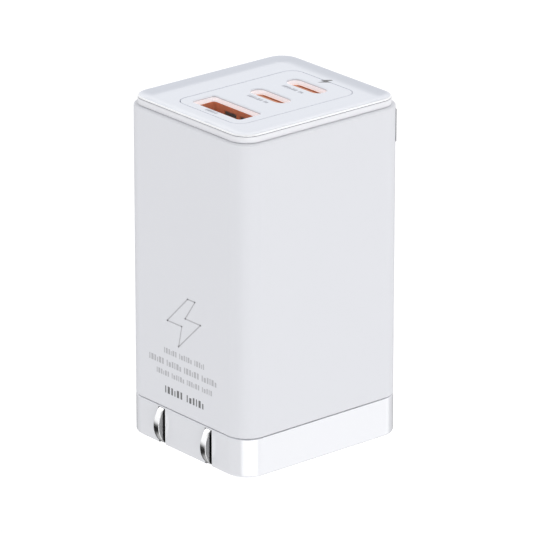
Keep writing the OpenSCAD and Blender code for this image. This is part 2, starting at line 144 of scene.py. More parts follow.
def aimed(turnDegrees, riseDegrees):
    turn = math.radians(turnDegrees)
    rise = math.radians(riseDegrees)
    return Vector((math.sin(turn) * math.cos(rise), -math.cos(turn) * math.cos(rise), math.sin(rise)))


def makeWorld(light):
    world = bpy.data.worlds.new("studio")
    bpy.context.scene.world = world
    world.use_nodes = True
    tree = world.node_tree
    background = tree.nodes["Background"]
    direction = tree.nodes.new("ShaderNodeTexCoord").outputs["Generated"]
    split = tree.nodes.new("ShaderNodeSeparateXYZ")
    wire(tree, direction, split.inputs[0])
    height = split.outputs["Z"]
    upper = rampNode(tree, height, 0.38, 0.62, light["horizon"], light["zenith"])
    lower = rampNode(tree, height, -0.72, -0.58, light["under"], light["flag"])
    gloss = mixNode(tree, rampNode(tree, height, -0.36, -0.05), lower, upper)
    for turn, rise, spread, bright in light["cards"]:
        towards = aimed(turn, rise)
        dot = tree.nodes.new("ShaderNodeVectorMath")
        dot.operation = "DOT_PRODUCT"
        wire(tree, direction, dot.inputs[0])
        dot.inputs[1].default_value = towards
        edge = math.cos(math.radians(spread))
        inner = math.cos(math.radians(spread * 0.55))
        card = rampNode(tree, dot.outputs["Value"], edge, inner, 0.0, bright)
        gloss = mathNode(tree, "ADD", gloss, card)
    path = tree.nodes.new("ShaderNodeLightPath").outputs
    level = mixNode(tree, path["Is Glossy Ray"], light["sky"], gloss)
    level = mixNode(tree, path["Is Camera Ray"], level, 1.0)
    wire(tree, level, background.inputs["Strength"])
    background.inputs["Color"].default_value = (*light["skyTint"], 1.0)


def makeSun(light):
    data = bpy.data.lights.new("sun", "SUN")
    data.energy = light["sunPower"]
    data.angle = math.radians(light["sunSpread"])
    sun = bpy.data.objects.new("sun", data)
    sun.rotation_mode = "QUATERNION"
    sun.rotation_quaternion = aimed(light["sunTurn"], light["sunRise"]).to_track_quat("Z", "Y")
    bpy.context.scene.collection.objects.link(sun)


def makeFloor(light):
    shape = bmesh.new()
    bmesh.ops.create_grid(shape, x_segments=1, y_segments=1, size=light["floorSize"] / 2)
    bmesh.ops.translate(shape, vec=(0, 0, -light["floorDrop"] * mm), verts=shape.verts)
    mesh = bpy.data.meshes.new("studioFloor")
    shape.to_mesh(mesh)
    shape.free()
    floor = bpy.data.objects.new("studioFloor", mesh)
    bpy.context.scene.collection.objects.link(floor)
    material = bpy.data.materials.new("paleFloor")
    material.use_nodes = True
    surface = material.node_tree.nodes["Principled BSDF"]
    surface.inputs["Base Color"].default_value = (*[light["floorTone"]] * 3, 1)
    surface.inputs["Roughness"].default_value = 0.9
    surface.inputs["Specular IOR Level"].default_value = 0.0
    surface.inputs["Emission Color"].default_value = (1, 1, 1, 1)
    surface.inputs["Emission Strength"].default_value = light["floorGlow"]
    mesh.materials.append(material)
    floor.visible_glossy = False          # gloss sees the cards and not the floor


makeCamera(cameraView)
makeWorld(studio)
makeSun(studio)
makeFloor(studio)
bpy.context.scene.view_settings.view_transform = "Standard"
print("studio ready")


# shader groups that several finishes use
def newGroup(name, inputs, outputs):
    group = bpy.data.node_groups.new(name, "ShaderNodeTree")
    for title, kind, value in inputs:
        socket = group.interface.new_socket(name=title, in_out="INPUT", socket_type=kind)
        socket.default_value = value
    for title, kind in outputs:
        group.interface.new_socket(name=title, in_out="OUTPUT", socket_type=kind)
    return group, group.nodes.new("NodeGroupInput"), group.nodes.new("NodeGroupOutput")


def scaledPoint(tree, scale):
    place = tree.nodes.new("ShaderNodeTexCoord").outputs["Object"]
    mapping = tree.nodes.new("ShaderNodeMapping")
    wire(tree, place, mapping.inputs["Vector"])
    mapping.inputs["Scale"].default_value = scale
    return mapping.outputs["Vector"]


def noise(tree, point, size, detail=3.0):
    node = tree.nodes.new("ShaderNodeTexNoise")
    wire(tree, point, node.inputs["Vector"])
    node.inputs["Detail"].default_value = detail
    if hasattr(size, "links"):
        wire(tree, size, node.inputs["Scale"])
    else:
        node.inputs["Scale"].default_value = size
    return node.outputs["Fac"]


def toned(tree, colour, fac, amount):
    # colour made lighter and darker by fac about its middle
    swing = mathNode(tree, "MULTIPLY", mathNode(tree, "SUBTRACT", fac, 0.5), amount)
    gain = mathNode(tree, "ADD", swing, 1.0)
    scale = tree.nodes.new("ShaderNodeVectorMath")
    scale.operation = "SCALE"
    wire(tree, colour, scale.inputs[0])
    wire(tree, gain, scale.inputs["Scale"])
    return scale.outputs[0]


def bumped(tree, height, depth):
    bump = tree.nodes.new("ShaderNodeBump")
    bump.inputs["Distance"].default_value = 0.1 * mm
    wire(tree, height, bump.inputs["Height"])
    wire(tree, depth, bump.inputs["Strength"])
    return bump.outputs["Normal"]


surfaceInputs = [
    ("Color", "NodeSocketColor", (0.8, 0.8, 0.8, 1)),
    ("Tone", "NodeSocketFloat", 0.03),
    ("Roughness", "NodeSocketFloat", 0.5),
    ("Spread", "NodeSocketFloat", 0.05),
    ("Grain", "NodeSocketFloat", 4000.0),
    ("Depth", "NodeSocketFloat", 0.1),
]
surfaceOutputs = [
    ("Color", "NodeSocketColor"),
    ("Roughness", "NodeSocketFloat"),
    ("Normal", "NodeSocketVector"),
]


def buildSurface(name, stretch, clouds):
    # grain over slow clouds; a stretch other than even draws the grain out into streaks
    group, start, end = newGroup(name, surfaceInputs, surfaceOutputs)
    slow = noise(group, scaledPoint(group, (1, 1, 1)), clouds, 2.0)
    fine = noise(group, scaledPoint(group, stretch), start.outputs["Grain"], 4.0)
    blend = mathNode(group, "MULTIPLY", mathNode(group, "ADD", slow, fine), 0.5)
    wire(group, toned(group, start.outputs["Color"], blend, start.outputs["Tone"]), end.inputs["Color"])
    swing = mathNode(group, "MULTIPLY", mathNode(group, "SUBTRACT", blend, 0.5), start.outputs["Spread"])
    rough = mathNode(group, "ADD", swing, start.outputs["Roughness"], clamp=True)
    wire(group, rough, end.inputs["Roughness"])
    wire(group, bumped(group, fine, start.outputs["Depth"]), end.inputs["Normal"])
    return group


mouldedGroup = buildSurface("mouldedSurface", (1, 1, 1), 60.0)
drawnUpGroup = buildSurface("brushedUpright", (1, 1, 0.06), 90.0)
drawnAcrossGroup = buildSurface("brushedAcross", (0.06, 1, 1), 90.0)


def newMask(name, titles):
    # a mask group whose inputs are sizes in millimetres, with the point split into its axes
    inputs = [(title, "NodeSocketFloat", 1.0) for title in titles]
    group, start, end = newGroup(name, inputs, [("Mask", "NodeSocketFloat")])
    split = group.nodes.new("ShaderNodeSeparateXYZ")
    wire(group, scaledPoint(group, (1 / mm, 1 / mm, 1 / mm)), split.inputs[0])
    return group, start.outputs, split.outputs, end.inputs["Mask"]


def allOf(tree, *masks):
    both = masks[0]
    for mask in masks[1:]:
        both = mathNode(tree, "MULTIPLY", both, mask)
    return both


def buildSlotMask():
    # 1 on the walls and roof of the two prong slots, 0 on the outside of the base
    group, size, point, mask = newMask("slotMask", ["Pitch", "Shift", "Half", "Top", "Face", "Back"])
    aside = mathNode(group, "ABSOLUTE", mathNode(group, "SUBTRACT", point["X"], size["Shift"]))
    half = mathNode(group, "MULTIPLY", size["Pitch"], 0.5)
    off = mathNode(group, "ABSOLUTE", mathNode(group, "SUBTRACT", aside, half))
    near = mathNode(group, "LESS_THAN", off, size["Half"])
    low = mathNode(group, "LESS_THAN", point["Z"], size["Top"])
    ahead = mathNode(group, "LESS_THAN", point["Y"], size["Back"])
    depth = mathNode(group, "ADD", point["Y"], size["Face"])
    wire(group, allOf(group, near, low, ahead, rampNode(group, depth, 0.02, 0.16)), mask)
    return group


def buildFlatMask():
    # 1 on the two flat faces of a prong, 0 on its rounded rim
    group, size, point, mask = newMask("flatMask", ["Pitch", "Half"])
    half = mathNode(group, "MULTIPLY", size["Pitch"], 0.5)
    aside = mathNode(group, "SUBTRACT", mathNode(group, "ABSOLUTE", point["X"]), half)
    wire(group, mathNode(group, "GREATER_THAN", mathNode(group, "ABSOLUTE", aside), size["Half"]), mask)
    return group


def buildMouthMask():
    # 1 on the walls of the socket openings, fading out towards the height High
    group, size, point, mask = newMask("mouthMask", ["Low", "High", "Half"])
    inside = mathNode(group, "LESS_THAN", mathNode(group, "ABSOLUTE", point["X"]), size["Half"])
    above = mathNode(group, "GREATER_THAN", point["Z"], size["Low"])
    gap = mathNode(group, "SUBTRACT", size["High"], point["Z"])
    wire(group, allOf(group, inside, above, rampNode(group, gap, 0.0, 0.25)), mask)
    return group


def buildWallMask():
    # 1 on the outer wall of the cover between two heights, 0 inside its rim
    group, size, point, mask = newMask("wallMask", ["HalfX", "HalfY", "Corner", "Thick", "Low", "High"])
    squares = []
    for axis, half in (("X", "HalfX"), ("Y", "HalfY")):
        past = mathNode(group, "SUBTRACT", mathNode(group, "ABSOLUTE", point[axis]), size[half])
        past = mathNode(group, "MAXIMUM", mathNode(group, "ADD", past, size["Corner"]), 0.0)
        squares.append(mathNode(group, "MULTIPLY", past, past))
    reach = mathNode(group, "SQRT", mathNode(group, "ADD", *squares))
    outer = mathNode(group, "GREATER_THAN", reach, mathNode(group, "SUBTRACT", size["Corner"], size["Thick"]))
    above = mathNode(group, "GREATER_THAN", point["Z"], size["Low"])
    under = mathNode(group, "LESS_THAN", point["Z"], size["High"])
    wire(group, allOf(group, outer, above, under), mask)
    return group


wallMask = buildWallMask()
mouthMask = buildMouthMask()
slotMask = buildSlotMask()
flatMask = buildFlatMask()
print("shader groups ready")


# finishes
finishes = {
    "housing_plastic": dict(colour=(0.765, 0.770, 0.801), tone=0.02, rough=0.42, spread=0.06,
                            grain=9000, depth=0.16, shine=0.12),
    "base_plastic": dict(colour=(0.812, 0.817, 0.845), tone=0.008, rough=0.08, spread=0.03,
                         grain=2500, depth=0.004),
    "cover_plastic": dict(colour=(0.800, 0.825, 0.890), tone=0.01, rough=0.12, spread=0.05,
                          grain=2500, depth=0.01),
    "inner_plastic": dict(colour=(0.72, 0.73, 0.75), tone=0.03, rough=0.4, spread=0.1, grain=5000,
                          depth=0.08),
    "tag_metal": dict(colour=(0.13, 0.13, 0.14), tone=0.2, rough=0.5, spread=0.2, grain=5000,
                      depth=0.06, metal=0.2, shine=0.1, group="up"),
    "prong_metal": dict(colour=(0.82, 0.82, 0.82), tone=0.06, rough=0.22, spread=0.06, grain=3000,
                        depth=0.01, metal=1.0, group="across"),
    "screw_steel": dict(colour=(0.50, 0.50, 0.52), tone=0.2, rough=0.3, spread=0.2, grain=4000,
                        depth=0.05, metal=1.0),
    "spring_steel": dict(colour=(0.62, 0.62, 0.65), tone=0.12, rough=0.25, spread=0.15, grain=4000,
                         depth=0.04, metal=1.0, group="across"),
    "spring_brass": dict(colour=(0.78, 0.56, 0.26), tone=0.14, rough=0.24, spread=0.15, grain=4000,
                         depth=0.04, metal=1.0, group="across"),
    "board_laminate": dict(colour=(0.020, 0.115, 0.050), tone=0.25, rough=0.3, spread=0.12, grain=2600,
                           depth=0.06, coat=0.4, coatRough=0.12),
    "socket_metal": dict(colour=(0.90, 0.44, 0.27), tone=0.35, rough=0.3, spread=0.2, grain=2600,
                         depth=0.05, metal=0.55, group="up"),
    "tongue_plastic": dict(colour=(0.68, 0.22, 0.075), tone=0.05, rough=0.32, spread=0.1, grain=5000,
                           depth=0.04),
    "contact_gold": dict(colour=(0.86, 0.62, 0.24), tone=0.1, rough=0.2, spread=0.1, grain=5000,
                         depth=0.03, metal=1.0, group="up"),
    "ferrite": dict(colour=(0.035, 0.035, 0.040), tone=0.4, rough=0.55, spread=0.3, grain=3500, depth=0.3),
    "bobbin_plastic": dict(colour=(0.012, 0.012, 0.014), tone=0.2, rough=0.42, spread=0.1, grain=5000,
                           depth=0.08),
    "winding_tape": dict(colour=(0.68, 0.42, 0.035), tone=0.15, rough=0.22, spread=0.12, grain=1800,
                         depth=0.12, coat=0.3, coatRough=0.1),
    "copper_wire": dict(colour=(0.60, 0.20, 0.075), tone=0.25, rough=0.26, spread=0.1, grain=2200,
                        depth=0.25, metal=0.7),
    "can_sleeve": dict(colour=(0.014, 0.016, 0.028), tone=0.12, rough=0.25, spread=0.1, grain=2500,
                       depth=0.05, coat=0.3, coatRough=0.15),
    "can_aluminium": dict(colour=(0.66, 0.67, 0.69), tone=0.12, rough=0.33, spread=0.15, grain=4500,
                          depth=0.05, metal=1.0, group="across"),
    "film_capacitor_case": dict(colour=(0.80, 0.52, 0.035), tone=0.06, rough=0.28, spread=0.1, grain=3000,
                                depth=0.05),
    "disc_capacitor_coat": dict(colour=(0.025, 0.12, 0.45), tone=0.1, rough=0.22, spread=0.1, grain=1500,
                                depth=0.1, coat=0.4, coatRough=0.08),
    "fuse_ceramic": dict(colour=(0.72, 0.69, 0.60), tone=0.06, rough=0.25, spread=0.1, grain=3000,
                         depth=0.05),
    "chip_resin": dict(colour=(0.012, 0.012, 0.013), tone=0.3, rough=0.48, spread=0.15, grain=7000,
                       depth=0.18),
    "inductor_case": dict(colour=(0.09, 0.09, 0.10), tone=0.4, rough=0.5, spread=0.25, grain=6000, depth=0.3),
    "heat_sheet": dict(colour=(0.72, 0.72, 0.74), tone=0.1, rough=0.35, spread=0.2, grain=3000,
                       depth=0.06, metal=1.0, group="up"),
    "film_sheet": dict(colour=(0.70, 0.58, 0.30), tone=0.1, rough=0.3, spread=0.1, grain=2500, depth=0.04),
    "grey_ink": dict(colour=(0.50, 0.50, 0.52), tone=0.1, rough=0.5, spread=0.1, grain=8000, depth=0.05),
    "dark_ink": dict(colour=(0.17, 0.17, 0.175), tone=0.1, rough=0.45, spread=0.1, grain=8000, depth=0.05),
    "pale_ink": dict(colour=(0.44, 0.45, 0.50), tone=0.08, rough=0.4, spread=0.1, grain=8000, depth=0.05),
}
groupByName = {"even": mouldedGroup, "up": drawnUpGroup, "across": drawnAcrossGroup}


def makeFinish(name, look):
    material = bpy.data.materials.new(name)
    material.use_nodes = True
    tree = material.node_tree
    surface = tree.nodes["Principled BSDF"]
    group = tree.nodes.new("ShaderNodeGroup")
    group.node_tree = groupByName[look.get("group", "even")]
    group.inputs["Color"].default_value = (*look["colour"], 1)
    group.inputs["Tone"].default_value = look["tone"]
    group.inputs["Roughness"].default_value = look["rough"]
    group.inputs["Spread"].default_value = look["spread"]
    group.inputs["Grain"].default_value = look["grain"]
    group.inputs["Depth"].default_value = look["depth"]
    wire(tree, group.outputs["Color"], surface.inputs["Base Color"])
    wire(tree, group.outputs["Roughness"], surface.inputs["Roughness"])
    wire(tree, group.outputs["Normal"], surface.inputs["Normal"])
    surface.inputs["Metallic"].default_value = look.get("metal", 0.0)
    surface.inputs["Specular IOR Level"].default_value = look.get("shine", 0.5)
    surface.inputs["Coat Weight"].default_value = look.get("coat", 0.0)
    surface.inputs["Coat Roughness"].default_value = look.get("coatRough", 0.05)
    return material


def placeMask(tree, maskGroup, sizes):
    node = tree.nodes.new("ShaderNodeGroup")
    node.node_tree = maskGroup
    for title, value in sizes.items():
        node.inputs[title].default_value = value
    return node.outputs["Mask"]


def mixColour(tree, mask, first, second):
    node = tree.nodes.new("ShaderNodeMix")
    node.data_type = "RGBA"
    wire(tree, mask, node.inputs["Factor"])
    colours = [socket for socket in node.inputs if socket.type == "RGBA"]
    for socket, colour in zip(colours, (first, second)):
        if hasattr(colour, "links"):
            wire(tree, colour, socket)
        else:
            socket.default_value = (*colour, 1)
    return next(socket for socket in node.outputs if socket.type == "RGBA")


def tintWhere(name, maskGroup, sizes, tint):
    # the finish's colour replaced wherever the mask group says so
    tree = finish[name].node_tree
    colour = tree.nodes["Principled BSDF"].inputs["Base Color"]
    mask = placeMask(tree, maskGroup, sizes)
    wire(tree, mixColour(tree, mask, colour.links[0].from_socket, tint), colour)


def roughWhere(name, maskGroup, sizes, rough):
    # the finish's roughness replaced wherever the mask group says so
    tree = finish[name].node_tree
    roughness = tree.nodes["Principled BSDF"].inputs["Roughness"]
    mask = placeMask(tree, maskGroup, sizes)
    wire(tree, mixNode(tree, mask, roughness.links[0].from_socket, rough), roughness)


def addPaintedGlow(name, maskGroup, sizes, tint, power):
    # painted light: a faint glow from the surface wherever the mask group says so
    tree = finish[name].node_tree
    surface = tree.nodes["Principled BSDF"]
    mask = placeMask(tree, maskGroup, sizes)
    wire(tree, mixColour(tree, mask, (0, 0, 0), tint), surface.inputs["Emission Color"])
    surface.inputs["Emission Strength"].default_value = power


finishes["panel_plastic"] = dict(finishes["cover_plastic"])    # its own copy, as only the panel carries the painted glow and the painted edge shade
finish = {name: makeFinish(name, look) for name, look in finishes.items()}
slotOfNode = {part["node"]: part["material_slot"] for part in frame["record"]["subparts"]}
for nodeName, cadNode in cadNodes.items():
    cadNode.data.materials.clear()
    cadNode.data.materials.append(finish[slotOfNode[nodeName]])
print("finishes ready:", len(finish))


# shaping tools
def spanBlock(shape, low, high):
    # box from its lowest and highest corners, in millimetres
    made = bmesh.ops.create_cube(shape, size=1.0)["verts"]
    size = [(b - a) * mm for a, b in zip(low, high)]
    middle = [(a + b) / 2 * mm for a, b in zip(low, high)]
    bmesh.ops.scale(shape, vec=size, verts=made)
    bmesh.ops.translate(shape, vec=middle, verts=made)
    return made


def roundUprights(shape, verts, radius, steps):
    edges = {e for v in verts for e in v.link_edges}
    upright = [e for e in edges if abs(e.verts[0].co.z - e.verts[1].co.z) > 0.9 * e.calc_length()]
    bmesh.ops.bevel(shape, geom=upright, offset=radius * mm, offset_type="OFFSET", segments=steps,
                    profile=0.5, affect="EDGES", material=-1)


def roundedPrism(shape, width, depth, radius, low, high, middle=(0, 0), steps=16):
    x, y = middle
    verts = spanBlock(shape, (x - width / 2, y - depth / 2, low), (x + width / 2, y + depth / 2, high))
    roundUprights(shape, verts, radius, steps)


def capFace(shape, top):
    # the highest flat face, or the lowest
    shape.normal_update()
    side = 1 if top else -1
    flat = [f for f in shape.faces if f.normal.z * side > 0.999]
    best = max(f.calc_center_median().z * side for f in flat)
    level = [f for f in flat if best - f.calc_center_median().z * side < 1e-6]
    return max(level, key=lambda f: f.calc_area())


def roundRim(shape, top, radius, steps):
    rim = capFace(shape, top)
    bmesh.ops.bevel(shape, geom=list(rim.edges), offset=radius * mm, offset_type="OFFSET", segments=steps,
                    profile=0.5, affect="EDGES", material=-1)
    return capFace(shape, top)


def insetCap(shape, face, width, drop=0.0):
    # a step inwards, with an optional move down (negative is up)
    bmesh.ops.inset_region(shape, faces=[face], thickness=width * mm, use_even_offset=True,
                           use_boundary=True)
    bmesh.ops.translate(shape, vec=(0, 0, -drop * mm), verts=face.verts)
    return face


def pushCap(shape, face, level):
    # draws the face to a height, leaving walls behind
    raised = bmesh.ops.extrude_discrete_faces(shape, faces=[face])["faces"][0]
    bmesh.ops.translate(shape, vec=(0, 0, level * mm - raised.calc_center_median().z), verts=raised.verts)
    return raised


def thicken(shape, direction):
    made = bmesh.ops.extrude_face_region(shape, geom=shape.faces[:])["geom"]
    bmesh.ops.translate(shape, verts=[v for v in made if isinstance(v, bmesh.types.BMVert)], vec=direction)


def finishShape(name, shape, look, body, sharp=32.0, replaced=()):
    bmesh.ops.recalc_face_normals(shape, faces=shape.faces)
    mesh = bpy.data.meshes.new(name)
    shape.to_mesh(mesh)
    shape.free()
    mesh.shade_smooth()
    mesh.set_sharp_from_angle(angle=math.radians(sharp))
    piece = bpy.data.objects.new(name, mesh)
    bpy.context.scene.collection.objects.link(piece)
    shading = piece.modifiers.new("evenShading", "WEIGHTED_NORMAL")   # flats stay flat beside small roundings
    shading.keep_sharp = True
    mesh.materials.append(finish[look])
    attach(piece, body)
    if replaced:
        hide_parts(*replaced)
    print("piece", name, len(mesh.polygons), "faces")
    return piece


def cutAway(shape, cutter):
    # the shape with the cutter's solids taken out, as a new bmesh
    pair = []
    for part in (shape, cutter):
        bmesh.ops.recalc_face_normals(part, faces=part.faces)
        mesh = bpy.data.meshes.new("blank")
        part.to_mesh(mesh)
        part.free()
        blank = bpy.data.objects.new("blank", mesh)
        bpy.context.scene.collection.objects.link(blank)
        pair.append(blank)
    body, tool = pair
    carve = body.modifiers.new("carve", "BOOLEAN")
    carve.operation = "DIFFERENCE"
    carve.solver = "EXACT"
    carve.use_self = True
    carve.object = tool
    bpy.context.view_layer.update()
    result = bmesh.new()
    result.from_object(body, bpy.context.evaluated_depsgraph_get())
    for blank in pair:
        mesh = blank.data
        bpy.data.objects.remove(blank)
        bpy.data.meshes.remove(mesh)
    bmesh.ops.remove_doubles(result, verts=result.verts, dist=0.0005 * mm)
    return result


def boreAcross(cutter, radius, length, x):
    # a round bar along x on the hinge line
    bar = bmesh.ops.create_cone(cutter, cap_ends=True, segments=48, radius1=radius * mm, radius2=radius * mm,
                                depth=length * mm)["verts"]
    bmesh.ops.rotate(cutter, verts=bar, cent=(0, 0, 0), matrix=Matrix.Rotation(math.pi / 2, 3, "Y"))
    bmesh.ops.translate(cutter, verts=bar, vec=Vector((x, hinge["y"], hinge["z"])) * mm)


def openEdges(shape, level, inside):
    # edges where upright walls meet a flat face at a height, kept where inside says yes
    found = []
    for e in shape.edges:
        if all(abs(v.co.z - level * mm) < 1e-6 for v in e.verts) and len(e.link_faces) == 2:
            upright = [abs(f.normal.z) < 0.1 for f in e.link_faces]
            middle = (e.verts[0].co + e.verts[1].co) / 2
            if sum(upright) == 1 and inside(middle / mm):
                found.append(e)
    return found


# main housing
housing = {
    "width": 32.0, "depth": 36.0, "corner": 4.2, "low": 7.2, "high": 60.1,
    "topRound": 0.3, "footRound": 0.1,
    "wall": 1.8, "lapWall": 0.9, "lapTop": 9.8,
    "railLow": 14.0, "railWide": 0.8, "railGap": 0.1, "railLap": 1.5,
    "ledgeThick": 1.5, "ledgeOut": 2.3, "ledgeLong": 3.3,
}


def buildHousing(p):
    shape = bmesh.new()
    roundedPrism(shape, p["width"], p["depth"], p["corner"], p["low"], p["high"])
    top = roundRim(shape, True, p["topRound"], 4)
    top = insetCap(shape, top, p["wall"] - p["topRound"])
    top = pushCap(shape, top, p["lapTop"])
    foot = roundRim(shape, False, p["footRound"], 2)
    foot = insetCap(shape, foot, p["lapWall"] - p["footRound"])
    foot = pushCap(shape, foot, p["lapTop"])
    rims = list(top.edges) + list(foot.edges)
    bmesh.ops.delete(shape, geom=[top, foot], context="FACES_ONLY")
    bmesh.ops.bridge_loops(shape, edges=rims)
    addRails(shape, p)
    return finishShape("housingShell", shape, "housing_plastic", "charger", replaced=["main_housing"])


def addRails(shape, p):
    # ribs beside the main board, and ledges under the port board
    boardLow, boardHigh = (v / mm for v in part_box("main_board"))
    innerX = p["width"] / 2 - p["wall"] + 0.1    # 0.1 into the wall
    innerY = p["depth"] / 2 - p["wall"] + 0.1
    ribLeft = boardLow.x - p["railGap"]
    ribRight = boardHigh.x + p["railGap"]
    for side in (-1, 1):
        near, far = sorted((side * (boardHigh.y - p["railLap"]), side * innerY))
        spanBlock(shape, (ribLeft - p["railWide"], near, p["railLow"]), (ribLeft, far, boardHigh.z))
        spanBlock(shape, (ribRight, near, p["railLow"]), (innerX, far, boardHigh.z))
        near, far = sorted((side * (innerY - p["ledgeLong"]), side * innerY))
        spanBlock(shape, (-innerX, near, boardHigh.z - p["ledgeThick"]),
                  (-innerX + p["ledgeOut"], far, boardHigh.z))


buildHousing(housing)

# base
base = {
    "width": 32.0, "depth": 36.0, "corner": 4.2, "high": 7.0,
    "bottomRound": 0.45, "topRound": 0.12,
    "lapInset": 0.95, "lapTop": 9.8, "wall": 1.8, "floor": 1.2,
    "channelWall": 0.8, "channelIn": 1.4, "blockGap": 2.3, "blockWide": 3.2, "blockHalf": 7.0,
    "sunk": 0.6, "boreRadius": 1.65,    # inner parts start at this height, inside the floor
    # the slot colour on the next line is painted shade, near black on the slot walls
    "slotPaintedShade": (0.004, 0.004, 0.004), "shadePast": 0.04,
}
hinge = {"y": 1.3, "z": 3.5}
prong = {
    "pitch": 12.7, "thick": 1.4, "wide": 6.35, "reach": 20.5, "tipRadius": 4.4,
    # the flats' colour on the next line is painted shade, a darker grey on the same metal
    "edge": 0.08, "coreRadius": 1.25, "flatPaintedShade": (0.26, 0.26, 0.26), "shadeIn": 0.04,
}
slot = {"play": 0.5, "shift": 0.1, "top": 6.8, "back": 3.3}


def slotSpan(side):
    middle = side * prong["pitch"] / 2 + slot["shift"]
    half = (prong["thick"] + slot["play"]) / 2
    return middle - half, middle + half


def paintSlotShade(p):
    # painted shade: the slots' walls are painted near black, as deep slots look in shade
    tintWhere("base_plastic", slotMask, {
        "Pitch": prong["pitch"], "Shift": slot["shift"],
        "Half": (prong["thick"] + slot["play"]) / 2 + p["shadePast"], "Top": slot["top"] + p["shadePast"],
        "Face": p["depth"] / 2, "Back": hinge["y"] + slot["back"] + 0.1}, p["slotPaintedShade"])


def buildBase(p):
    shape = bmesh.new()
    roundedPrism(shape, p["width"], p["depth"], p["corner"], 0.0, p["high"])
    roundRim(shape, False, p["bottomRound"], 8)
    top = roundRim(shape, True, p["topRound"], 3)
    top = insetCap(shape, top, p["lapInset"] - p["topRound"])
    top = pushCap(shape, top, p["lapTop"])
    top = insetCap(shape, top, p["wall"] - p["lapInset"])
    pushCap(shape, top, p["floor"])
    back = hinge["y"] + slot["back"]
    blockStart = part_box("prong_right")[1].x / mm + p["blockGap"]
    blockEnd = blockStart + p["blockWide"]
    wall = p["channelWall"]
    for side in (-1, 1):
        low, high = slotSpan(side)
        spanBlock(shape, (low - wall, p["channelIn"] - p["depth"] / 2, p["sunk"]),
                  (high + wall, hinge["y"] - slot["back"] - 0.2, slot["top"] + wall))
        near, far = sorted((side * blockStart, side * blockEnd))
        spanBlock(shape, (near, hinge["y"] - p["blockHalf"], p["sunk"]),
                  (far, hinge["y"] + p["blockHalf"], hinge["z"]))
    cutter = bmesh.new()
    for side in (-1, 1):
        low, high = slotSpan(side)
        spanBlock(cutter, (low, -p["depth"] / 2 - 1, -1), (high, back, slot["top"]))
    boreAcross(cutter, p["boreRadius"], 2 * (blockEnd + 0.5), 0)
    shape = cutAway(shape, cutter)
    return finishShape("baseTray", shape, "base_plastic", "charger", sharp=28, replaced=["base_cap"])


paintSlotShade(base)
buildBase(base)

# folding prongs
def buildProng(side, name, nodeName):
    # one blade as a flat outline in y and z, then its thickness, its rounded edges and its root hole
    p = prong
    left = side * p["pitch"] / 2 - p["thick"] / 2
    half = p["wide"] / 2
    tipMiddle = p["tipRadius"] - p["reach"]
    shape = bmesh.new()
    bmesh.ops.create_circle(shape, cap_ends=True, radius=p["tipRadius"] * mm, segments=128)
    bmesh.ops.rotate(shape, verts=shape.verts, cent=(0, 0, 0), matrix=Matrix.Rotation(math.pi / 2, 3, "Y"))
    bmesh.ops.translate(shape, verts=shape.verts, vec=(0, tipMiddle * mm, 0))
    cuts = (((0, 0, half), (0, 0, 1)), ((0, 0, -half), (0, 0, -1)), ((0, tipMiddle, 0), (0, 1, 0)))
    for point, away in cuts:
        bmesh.ops.bisect_plane(shape, geom=shape.verts[:] + shape.edges[:] + shape.faces[:],
                               plane_co=Vector(point) * mm, plane_no=away, clear_outer=True)
    seam = [e for e in shape.edges if all(abs(v.co.y - tipMiddle * mm) < 1e-6 for v in e.verts)]
    root = bmesh.ops.extrude_edge_only(shape, edges=seam)["geom"]
    rootVerts = [v for v in root if isinstance(v, bmesh.types.BMVert)]
    bmesh.ops.translate(shape, verts=rootVerts, vec=(0, (half - tipMiddle) * mm, 0))
    corners = [v for v in rootVerts if abs(abs(v.co.z) - half * mm) < 1e-6]
    bmesh.ops.bevel(shape, geom=corners, offset=half * 0.98 * mm, offset_type="OFFSET", segments=12,
                    profile=0.5, affect="VERTICES", material=-1)
    bmesh.ops.dissolve_limit(shape, angle_limit=0.001, verts=shape.verts, edges=shape.edges)
    bmesh.ops.translate(shape, verts=shape.verts, vec=Vector((left, hinge["y"], hinge["z"])) * mm)
    thicken(shape, (p["thick"] * mm, 0, 0))
    bmesh.ops.recalc_face_normals(shape, faces=shape.faces)
    sideEdges = [e for e in shape.edges if len(e.link_faces) == 2
                 and sorted(abs(f.normal.x) > 0.9 for f in e.link_faces) == [False, True]]
    bmesh.ops.bevel(shape, geom=sideEdges, offset=p["edge"] * mm, offset_type="OFFSET", segments=3,
                    profile=0.5, affect="EDGES", material=-1)
    cutter = bmesh.new()
    boreAcross(cutter, p["coreRadius"], 4, side * p["pitch"] / 2)
    shape = cutAway(shape, cutter)
    return finishShape(name, shape, "prong_metal", "prongs", sharp=40, replaced=[nodeName])


def paintFlatShade(p):
    # painted shade: the flats are painted a darker grey than the polished rim of the same metal
    sizes = {"Pitch": p["pitch"], "Half": p["thick"] / 2 - p["shadeIn"]}
    tintWhere("prong_metal", flatMask, sizes, p["flatPaintedShade"])


paintFlatShade(prong)
buildProng(-1, "prongLeft", "prong_left")
buildProng(1, "prongRight", "prong_right")

